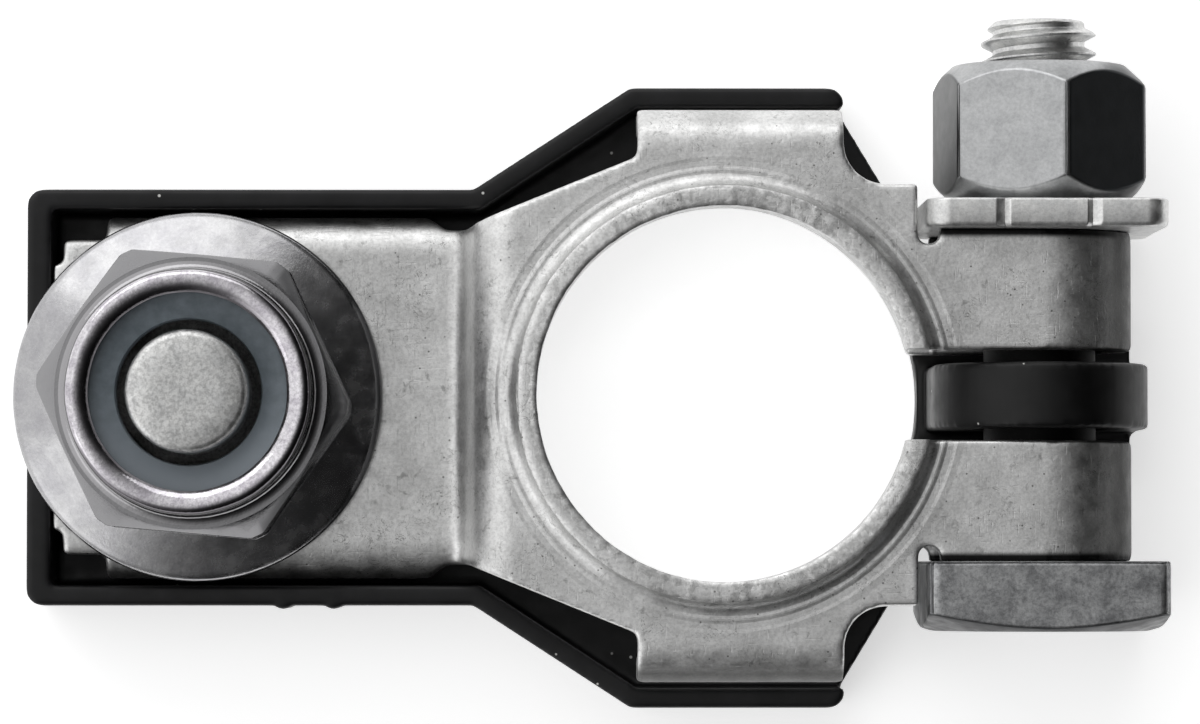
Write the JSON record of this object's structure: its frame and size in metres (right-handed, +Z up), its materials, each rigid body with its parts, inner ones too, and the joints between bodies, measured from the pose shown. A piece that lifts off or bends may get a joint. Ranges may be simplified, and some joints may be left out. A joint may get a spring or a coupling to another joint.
{
  "type": "battery terminal clamp",
  "caption": "Folded-sheet battery post clamp with looped ears and clamp bolt, cable stud with flanged lock nut, and black plastic insulator tray.",
  "frame": {"origin": "on the post hole's axis, in the top face of the ring plate", "axes": "+X from the post hole to the clamp bolt, +Y along the clamp bolt to its nut, +Z up out of the ring plate"},
  "size_m": [0.0593, 0.0356, 0.0172],
  "materials": {
    "tinned_strip": "matt tin plating with scuffs",
    "black_plastic": "moulded, semi-matt",
    "zinc_bolt": "mottled zinc",
    "zinc_washer": "mottled zinc",
    "zinc_nut": "satin zinc",
    "zinc_stud": "grainy zinc",
    "bright_zinc": "bright zinc",
    "nylon": "satin grey-blue nylon"
  },
  "bodies": {
    "clamp": {"clamp_body": "tinned_strip", "insulator_base": "black_plastic", "clamp_bolt": "zinc_bolt", "stud_bolt": "zinc_stud"},
    "washer": {"clamp_washer": "zinc_washer"},
    "clamp_nut": {"clamp_nut": "zinc_nut"},
    "lock_ring": {"lock_nut_insert": "nylon"},
    "lock_nut": {"lock_nut": "bright_zinc"}
  },
  "joints": [
    {"name": "washer_travel", "type": "slide", "parent": "clamp", "child": "washer", "axis": [0, 1, 0], "range_m": [0, 0.008]},
    {"name": "clamp_nut_spin", "type": "hinge", "parent": "washer", "child": "clamp_nut", "pos_m": [0.0165, 0, -0.00475], "axis": [0, 1, 0], "range_deg": [0, 2880.5]},
    {"name": "lock_nut_travel", "type": "slide", "parent": "clamp", "child": "lock_ring", "axis": [0, 0, 1], "range_m": [0, 0.00625]},
    {"name": "lock_nut_spin", "type": "hinge", "parent": "lock_ring", "child": "lock_nut", "pos_m": [-0.0271, 0, 0], "axis": [0, 0, 1], "range_deg": [0, 1800.5]}
  ],
  "couplings": [
    {"joint": "clamp_nut_spin", "follows": "washer_travel", "rad_per_m": 6283.2},
    {"joint": "lock_nut_spin", "follows": "lock_nut_travel", "rad_per_m": 5026.5}
  ]
}
